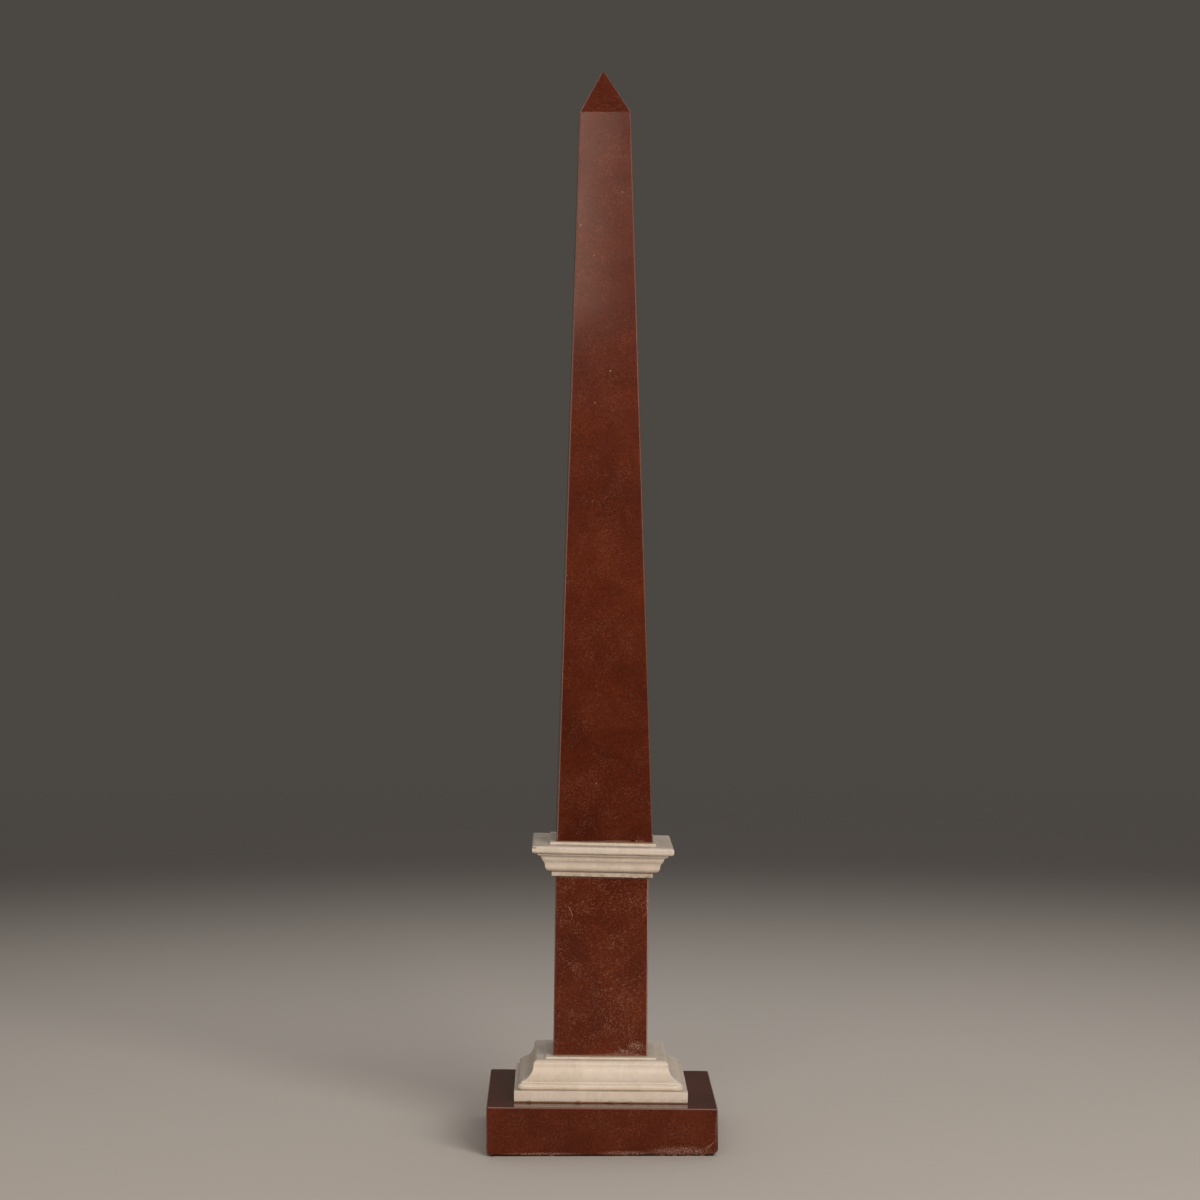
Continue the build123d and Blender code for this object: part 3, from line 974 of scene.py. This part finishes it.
dress("shaft", shaft_stone, red_break, edge_mm=0.08, chips=[
    ((7.0, shaft_low.y + 0.2, shaft_low.z + 0.3), (0.8, 0.5, 0.4)),
], old_bites=[
    ((16.5, shaft_low.y + 0.6, shaft_low.z + 0.1), (1.5, 6.0, 1.0)),
])

# %% [markdown]
# ## The two mouldings
#
# A moulding is all thin edges, which bruise easily and show how evenly they were cut. So
# these two have the unevenness of hand cutting as well as bruises: four along the lower
# edge of the base moulding, two on the cornice's foot and one on its left front corner.

# %% Dress the base moulding and the cornice
dress("base_moulding", base_stone, white_break, edge_mm=0.2, wobble_mm=0.14,
      chips=[
          ((-38.0, base_low.y, 26.0), (1.3, 0.6, 0.5)),
          ((-12.4, base_low.y, 25.8), (1.6, 0.5, 0.5)),
          ((5.0, base_low.y, 25.5), (2.2, 0.5, 0.5)),
          ((14.7, base_low.y, 25.4), (1.4, 0.5, 0.5)),
      ])
dress("cornice", cornice_stone, white_break, edge_mm=0.15, wobble_mm=0.12,
      chips=[
          ((11.9, -26.7, 141.1), (1.2, 0.5, 0.5)),
          ((18.2, -26.7, 141.0), (1.4, 0.5, 0.6)),
          ((-36.8, -37.2, 158.2), (0.9, 0.9, 0.7)),
      ])

# %% [markdown]
# ## Pointing the joints
#
# When the stones were set, the compound squeezed out and was scraped off almost flush, so
# each joint is a thin, uneven brown line and not a black gap. The solid sheet of compound
# stays, set back inside. In front of it runs a ribbon, built as a ring of short sections:
# each section bulges out from the lower stone to the upper one by an amount that wanders.
# A noise texture could only shade such a line, and its light comes from its real shape.
#
# The stones' tops are not quite level, so the ribbon follows the sheet's own corners.

# %% The sheet's corners
def sheet_corners(node_name):
    """Return a thin sheet's lower and upper corners, each going round, in mm."""
    shape = bmesh.new()
    shape.from_mesh(frame["nodes"][node_name].data)
    bmesh.ops.remove_doubles(shape, verts=shape.verts, dist=WELD_MM * MM)
    points = [vert.co / MM for vert in shape.verts]
    shape.free()
    middle = sum(points, Vector()) / len(points)
    by_turn = sorted(points, key=lambda p: round(math.atan2(p.y - middle.y, p.x - middle.x), 1))
    pairs = [sorted(by_turn[i:i + 2], key=lambda p: p.z) for i in range(0, len(by_turn), 2)]
    return [pair[0] for pair in pairs], [pair[1] for pair in pairs]


# %% [markdown]
# ## The ribbon's sections
#
# A section is a short row of points, each with how far it stands out, as a share of the
# bulge, and how high, as a share of the joint. The two end points lie behind the sheet's
# edge, so that the ribbon has no open rim to see. Sections stand every 0.6 mm. The bulge
# wanders slowly over centimetres and quickly over a few millimetres, and is never quite
# the whole setback. Towards a corner each section also leans along the edge, so that the
# four sides meet in a mitre.

# %% The ring of sections
SECTION_STEP_MM = 0.6
SETBACK_MM = 0.9
MEAN_FILL, FILL_SWING = 0.82, 0.3
WANDERS = [(0.22, 0.5), (1.1, 0.35)]
RIBBON_SECTION = [(-0.2, -0.04), (0.82, 0.0), (0.97, 0.25), (1.0, 0.5), (0.97, 0.75),
                  (0.82, 1.0), (-0.2, 1.04)]


def ribbon_sections(shape, lower, upper):
    """Add the points of all the sections, once round the joint."""
    sections = []
    for i in range(4):
        ahead = (i + 1) % 4
        along = (lower[ahead] - lower[i]).normalized()
        outward = Vector((along.y, -along.x, 0.0))
        steps = round((lower[ahead] - lower[i]).length / SECTION_STEP_MM)
        for step in range(steps):
            share = step / steps
            low = lower[i].lerp(lower[ahead], share)
            high = upper[i].lerp(upper[ahead], share)
            wander = sum(noise.noise(low * rate) * size for rate, size in WANDERS)
            bulge = SETBACK_MM * (MEAN_FILL + FILL_SWING * wander)
            widen = along * (2 * share - 1)
            sections.append([
                shape.verts.new((low.lerp(high, t) + (outward + widen) * bulge * u) * MM)
                for u, t in RIBBON_SECTION
            ])
    return sections


# %% [markdown]
# ## The ribbon, with a few lumps
#
# Neighbouring sections are joined by faces. Here and there a lump of compound was left
# under the base moulding and at the die's foot, and the pebble that cut the chips now adds
# stone dust instead. The sheets behind take the same compound.

# %% Point the four joints
def pointing(node_name, lumps=()):
    """Fill the set-back edge of a joint with a wandering ribbon and a few lumps."""
    shape = bmesh.new()
    sections = ribbon_sections(shape, *sheet_corners(node_name))
    for section, following in zip(sections, sections[1:] + sections[:1]):
        for a in range(len(RIBBON_SECTION) - 1):
            shape.faces.new((section[a], following[a], following[a + 1], section[a + 1]))
    for seed, (centre, half_sizes) in enumerate(lumps):
        rough_pebble(shape, centre, half_sizes, seed)
    bmesh.ops.recalc_face_normals(shape, faces=shape.faces)
    for face in shape.faces:
        face.smooth = True
    mesh = bpy.data.meshes.new(node_name + "_pointing")
    shape.to_mesh(mesh)
    shape.free()
    mesh.materials.append(compound)
    ribbon = bpy.data.objects.new(node_name + "_pointing", mesh)
    bpy.context.scene.collection.objects.link(ribbon)
    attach(ribbon, "root")
    print("pointed", node_name, len(mesh.vertices), "points,", len(lumps), "lumps")


for joint_name, joint_lumps in {
    "plinth_joint": [
        ((-38.0, base_low.y + 0.1, 25.9), (1.2, 0.35, 0.35)),
        ((-12.6, base_low.y + 0.1, 25.7), (1.5, 0.35, 0.35)),
        ((3.0, base_low.y + 0.1, 25.45), (2.2, 0.35, 0.3)),
        ((12.0, base_low.y + 0.1, 25.35), (1.6, 0.3, 0.3)),
    ],
    "die_joint": [((-16.0, die_low.y - 0.1, 46.9), (0.6, 0.5, 0.45))],
    "cornice_joint": [],
    "shaft_joint": [],
}.items():
    frame["nodes"][joint_name].material_slots[0].material = compound
    pointing(joint_name, joint_lumps)

# %% [markdown]
# ## The floor
#
# The ornament stands on a pale studio floor that fades into shade a little way off, as a
# graduated backdrop does, so no horizon line cuts through the picture. The floor is a plain
# disc of matt paint. Its colour changes with the distance from the ornament, and further
# out it turns transparent, so the room takes over without a rim.

# %% Lay the floor
FLOOR_PALE = linear("CBC3BA")
FLOOR_SHADE = linear("6E6862")
FLOOR_RADIUS = 2.6
SHADE_FROM, SHADE_TO = 0.3, 1.5
ENDS_FROM, ENDS_TO = 1.2, 2.5

floor_shape = bmesh.new()
bmesh.ops.create_circle(floor_shape, cap_ends=True, segments=96, radius=FLOOR_RADIUS)
floor_mesh = bpy.data.meshes.new("studio_floor")
floor_shape.to_mesh(floor_mesh)
floor_shape.free()
floor = bpy.data.objects.new("studio_floor", floor_mesh)
bpy.context.scene.collection.objects.link(floor)

floor_paint, floor_output = new_material("graduated_floor")
floor_place = add_node(floor_paint, "ShaderNodeTexCoord").outputs["Object"]
floor_distance = add_node(floor_paint, "ShaderNodeVectorMath", {0: floor_place},
                          operation="LENGTH").outputs["Value"]
floor_fade = add_node(floor_paint, "ShaderNodeMapRange", {
    "Value": floor_distance, "From Min": SHADE_FROM, "From Max": SHADE_TO,
}, interpolation_type="SMOOTHSTEP")
floor_colour = add_node(floor_paint, "ShaderNodeMix", {
    0: floor_fade.outputs["Result"], COLOUR_A: FLOOR_PALE, COLOUR_B: FLOOR_SHADE,
}, data_type="RGBA")
floor_surface = add_node(floor_paint, "ShaderNodeBsdfDiffuse", {
    "Color": floor_colour.outputs[COLOUR_OUT],
})
floor_gone = add_node(floor_paint, "ShaderNodeMapRange", {
    "Value": floor_distance, "From Min": ENDS_FROM, "From Max": ENDS_TO,
}, interpolation_type="SMOOTHSTEP")
floor_mixed = add_node(floor_paint, "ShaderNodeMixShader", {
    0: floor_gone.outputs["Result"], 1: floor_surface.outputs["BSDF"],
    2: add_node(floor_paint, "ShaderNodeBsdfTransparent").outputs["BSDF"],
})
floor_paint.node_tree.links.new(floor_mixed.outputs["Shader"], floor_output.inputs["Surface"])
floor_mesh.materials.append(floor_paint)
print("floor radius", FLOOR_RADIUS, "m")

# %% [markdown]
# ## The room
#
# A polished stone shows its surroundings. The walls are a dark grey, which keeps the red
# deep, and the ceiling is paler, so the tilted faces of the tip are a little lighter than
# the upright ones. The world does both jobs: the camera and the reflections see these
# greys, while all other light that fills the room stays an even, plain white. The Light
# Path node tells the two apart.

# %% Light and shade from the room
ROOM_SHADE = linear("4B4742")
CEILING_PALE = linear("918B84")
CEILING_FROM, CEILING_TO = 0.45, 0.85
FILL_LIGHT = 0.2

room = bpy.data.worlds.new("studio_room")
room.use_nodes = True
room.node_tree.nodes.clear()
ray = add_node(room, "ShaderNodeLightPath")
seen = add_node(room, "ShaderNodeMath", {
    0: ray.outputs["Is Camera Ray"], 1: ray.outputs["Is Glossy Ray"],
}, operation="MAXIMUM")
seen = add_node(room, "ShaderNodeMath", {
    0: seen.outputs["Value"], 1: ray.outputs["Is Transmission Ray"],
}, operation="MAXIMUM")
looking = add_node(room, "ShaderNodeSeparateXYZ", {
    "Vector": add_node(room, "ShaderNodeTexCoord").outputs["Generated"],
})
overhead = add_node(room, "ShaderNodeMapRange", {
    "Value": looking.outputs["Z"], "From Min": CEILING_FROM, "From Max": CEILING_TO,
}, interpolation_type="SMOOTHSTEP")
room_colour = add_node(room, "ShaderNodeMix", {
    0: overhead.outputs["Result"], COLOUR_A: ROOM_SHADE, COLOUR_B: CEILING_PALE,
}, data_type="RGBA")
fill = add_node(room, "ShaderNodeBackground", {"Color": (1, 1, 1, 1), "Strength": FILL_LIGHT})
shade = add_node(room, "ShaderNodeBackground", {
    "Color": room_colour.outputs[COLOUR_OUT], "Strength": 1.0,
})
room_mix = add_node(room, "ShaderNodeMixShader", {
    0: seen.outputs["Value"], 1: fill.outputs["Background"], 2: shade.outputs["Background"],
})
add_node(room, "ShaderNodeOutputWorld", {"Surface": room_mix.outputs["Shader"]})
bpy.context.scene.world = room
print("fill light", FILL_LIGHT)

# %% [markdown]
# ## Light
#
# The photograph was lit by a large soft source in front and to the right: the front faces
# are brightest, the right sides a little over half as bright and the left sides in quiet
# shade. A second, dimmer panel stands above the camera on the left. The shaft leans back as
# it tapers, just enough for its upper third to mirror that panel, which gives the polish
# away. A weak light behind keeps the other views readable.
#
# A lamp's light on the object falls with the square of its distance. The function makes up
# for that, so share is simply how brightly a surface that faces the lamp is lit. At a share
# of 1 a matt white surface renders as white: that takes an irradiance of pi, and an area
# lamp gives its watts divided by pi and by the square of the distance, hence pi squared.

# %% Lamps
WATTS_FOR_FULL_LIGHT = math.pi ** 2
LAMPS_AIM_AT = Vector((0, 0, 0.28))


def soft_box(name, azimuth, elevation, distance, size, share, colour="FFFFFF"):
    """Hang an area lamp round the object. share is the light on a facing surface, 1 is full."""
    lamp = bpy.data.lights.new(name, "AREA")
    lamp.shape = "RECTANGLE"
    lamp.size, lamp.size_y = size
    lamp.energy = share * WATTS_FOR_FULL_LIGHT * distance ** 2
    lamp.color = linear(colour)[:3]
    hung = bpy.data.objects.new(name, lamp)
    bpy.context.scene.collection.objects.link(hung)
    a, e = math.radians(azimuth), math.radians(elevation)
    away = Vector((math.sin(a) * math.cos(e), -math.cos(a) * math.cos(e), math.sin(e)))
    hung.location = LAMPS_AIM_AT + away * distance
    hung.rotation_euler = (-away).to_track_quat("-Z", "Y").to_euler()
    hung.visible_camera = False
    print(name, round(lamp.energy, 1), "W")


soft_box("key_right", azimuth=26, elevation=19, distance=2.2, size=(1.1, 0.9), share=0.67,
         colour="FFFBF5")
soft_box("panel_left", azimuth=-9.3, elevation=17.5, distance=2.1, size=(0.85, 0.5),
         share=0.165, colour="FFDDC8")
soft_box("fill_back", azimuth=178, elevation=50, distance=2.6, size=(2.6, 2.6), share=0.22)

# %% [markdown]
# ## The camera
#
# The photograph was taken with a long lens from a little under two metres: the plinth's
# back edge is only a few percent shorter than its front edge. The camera stands at about
# three fifths of the obelisk's height and looks down by a degree and a half, so that the
# top of the plinth just shows.

# %% The photograph's view
LENS_MM = 102.0
SENSOR_MM = 36.0
CAMERA_PLACE_MM = (-21.9, -1810.8, 335.4)
CAMERA_TILT_DOWN = 1.55
CAMERA_TURN = -0.68
SEES_UP_TO_M = 50.0

camera_data = bpy.data.cameras.new("photo_view")
camera_data.lens = LENS_MM
camera_data.sensor_width = SENSOR_MM
camera_data.clip_end = SEES_UP_TO_M
camera = bpy.data.objects.new("photo_view", camera_data)
bpy.context.scene.collection.objects.link(camera)
camera.location = [c * MM for c in CAMERA_PLACE_MM]
camera.rotation_euler = (math.radians(90 - CAMERA_TILT_DOWN), 0, math.radians(CAMERA_TURN))
bpy.context.scene.camera = camera
bpy.context.scene.view_settings.view_transform = "Standard"
print("camera at", CAMERA_PLACE_MM, "mm")
